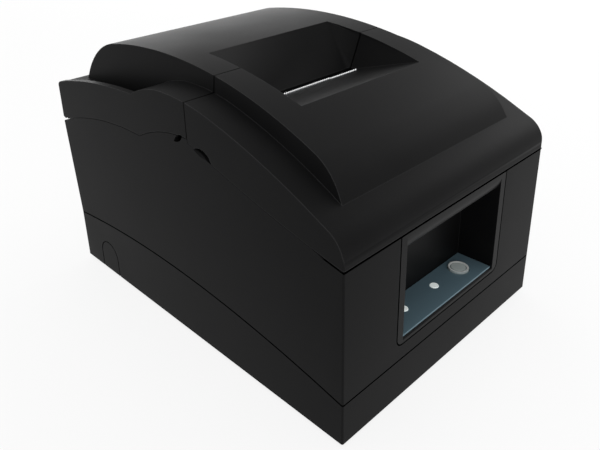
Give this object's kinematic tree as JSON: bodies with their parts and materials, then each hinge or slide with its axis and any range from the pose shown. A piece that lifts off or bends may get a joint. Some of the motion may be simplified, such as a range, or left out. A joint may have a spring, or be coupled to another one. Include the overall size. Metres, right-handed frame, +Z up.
{
  "type": "dot matrix printer",
  "caption": "Desktop impact receipt printer with a two-part hinged cover, a paper well with a tear bar, a window with a control panel, a roll bucket and a full printing mechanism.",
  "frame": {"origin": "centre of the footprint at the bottom of the feet", "axes": "+X to the printer's left side as it faces away, that is to the right of someone in front of it; +Y from the front window to the back; +Z up"},
  "size_m": [0.1584, 0.222, 0.1479],
  "materials": {
    "case": "fine satin grain",
    "covers": "fine satin grain",
    "bezel": "satin",
    "panel_film": "glossy film",
    "button_cap": "smooth",
    "lenses": "translucent white",
    "feet": "matt",
    "steel_bright": "ground",
    "sheet_steel": "zinc plated",
    "screws": "zinc plated",
    "rollers": "matt",
    "nylon": "satin",
    "mech_plastic": "satin",
    "head_alloy": "black anodised",
    "cartridge": "satin",
    "ribbon": "inked fabric",
    "belt": "matt",
    "motor_can": "satin black",
    "brass": "machined",
    "board": "solder mask",
    "sockets": "satin"
  },
  "bodies": {
    "case": {"base_case": "case", "body_shell": "case", "front_bezel": "bezel", "control_panel": "panel_film", "indicator_lenses": "lenses", "button_board": "board", "rubber_feet": "feet", "case_screws": "screws", "rear_hinge_pins": "steel_bright", "mech_chassis": "sheet_steel", "mech_side_frames": "sheet_steel", "mech_dampers": "feet", "platen": "mech_plastic", "guide_shaft": "steel_bright", "guide_rail": "steel_bright", "ribbon_cartridge": "cartridge", "ink_ribbon": "ribbon", "drive_belt": "belt", "carriage_motor": "motor_can", "idler_post": "steel_bright", "feed_motor": "motor_can", "paper_guide": "sheet_steel", "paper_bucket": "mech_plastic", "main_board": "board", "parallel_port": "sockets", "power_inlet": "sockets", "drawer_jack": "sockets", "power_switch": "sockets"},
    "front_lid": {"front_cover": "covers", "tear_bar": "steel_bright"},
    "rear_lid": {"rear_cover": "covers"},
    "button": {"feed_button": "button_cap"},
    "head_carriage": {"carriage": "mech_plastic", "print_head": "head_alloy"},
    "motor_pulley": {"drive_pulley": "steel_bright"},
    "return_pulley": {"idler_pulley": "steel_bright"},
    "feed_roller": {"feed_shaft": "steel_bright", "feed_rollers": "rollers", "feed_gear": "nylon"},
    "feed_idler": {"idler_gear": "nylon"},
    "feed_motor_gear": {"feed_pinion": "brass"},
    "pressure_roller": {"pinch_shaft": "steel_bright", "pinch_rollers": "nylon"},
    "ribbon_winder": {"ribbon_knob": "nylon"},
    "end_sensor": {"paper_end_lever": "nylon"},
    "switch_rocker": {"power_rocker": "sockets"}
  },
  "joints": [
    {"name": "front_cover_hinge", "type": "hinge", "parent": "case", "child": "front_lid", "pos_m": [0, -0.1096, 0.091], "axis": [1, 0, 0], "range_deg": [0, 62]},
    {"name": "rear_cover_hinge", "type": "hinge", "parent": "case", "child": "rear_lid", "pos_m": [0, 0.108, 0.1002], "axis": [-1, 0, 0], "range_deg": [0, 90]},
    {"name": "feed_button_press", "type": "slide", "parent": "case", "child": "button", "axis": [0, 0, -1], "range_m": [0, 0.0012], "stiffness_N_per_m": 700, "springref_m": -0.0005},
    {"name": "carriage_slide", "type": "slide", "parent": "case", "child": "head_carriage", "axis": [1, 0, 0], "range_m": [0, 0.063]},
    {"name": "motor_pulley_spin", "type": "hinge", "parent": "case", "child": "motor_pulley", "pos_m": [-0.044, -0.061, 0.0425], "axis": [0, 0, 1], "range_deg": [-600, 5]},
    {"name": "return_pulley_spin", "type": "hinge", "parent": "case", "child": "return_pulley", "pos_m": [0.044, -0.061, 0.0425], "axis": [0, 0, 1], "range_deg": [-600, 5]},
    {"name": "feed_spin", "type": "hinge", "parent": "case", "child": "feed_roller", "pos_m": [0, -0.0155, 0.1065], "axis": [1, 0, 0], "continuous": true},
    {"name": "feed_idler_spin", "type": "hinge", "parent": "case", "child": "feed_idler", "pos_m": [-0.059, -0.02088, 0.07597], "axis": [1, 0, 0], "continuous": true},
    {"name": "feed_motor_spin", "type": "hinge", "parent": "case", "child": "feed_motor_gear", "pos_m": [-0.059, -0.01897, 0.05405], "axis": [1, 0, 0], "continuous": true},
    {"name": "pressure_roller_spin", "type": "hinge", "parent": "case", "child": "pressure_roller", "pos_m": [0, -0.0258, 0.1065], "axis": [1, 0, 0], "continuous": true},
    {"name": "ribbon_winder_spin", "type": "hinge", "parent": "case", "child": "ribbon_winder", "pos_m": [0.03, -0.057, 0.1145], "axis": [0, 0, 1], "continuous": true},
    {"name": "end_sensor_swing", "type": "hinge", "parent": "case", "child": "end_sensor", "pos_m": [-0.0457, 0.036, 0.0685], "axis": [0, 0, 1], "range_deg": [0, 14], "stiffness_Nm_per_rad": 0.004, "springref_deg": -5.73},
    {"name": "power_rocker_tilt", "type": "hinge", "parent": "case", "child": "switch_rocker", "pos_m": [-0.05, 0.102, 0.016], "axis": [0, 0, -1], "range_deg": [0, 18]}
  ],
  "couplings": [
    {"joint": "motor_pulley_spin", "follows": "carriage_slide", "rad_per_m": -163.93},
    {"joint": "return_pulley_spin", "follows": "carriage_slide", "rad_per_m": -163.93},
    {"joint": "feed_idler_spin", "follows": "feed_spin", "ratio": -1.0667},
    {"joint": "feed_motor_spin", "follows": "feed_spin", "ratio": 2.2857},
    {"joint": "pressure_roller_spin", "follows": "feed_spin", "ratio": -1.5}
  ]
}
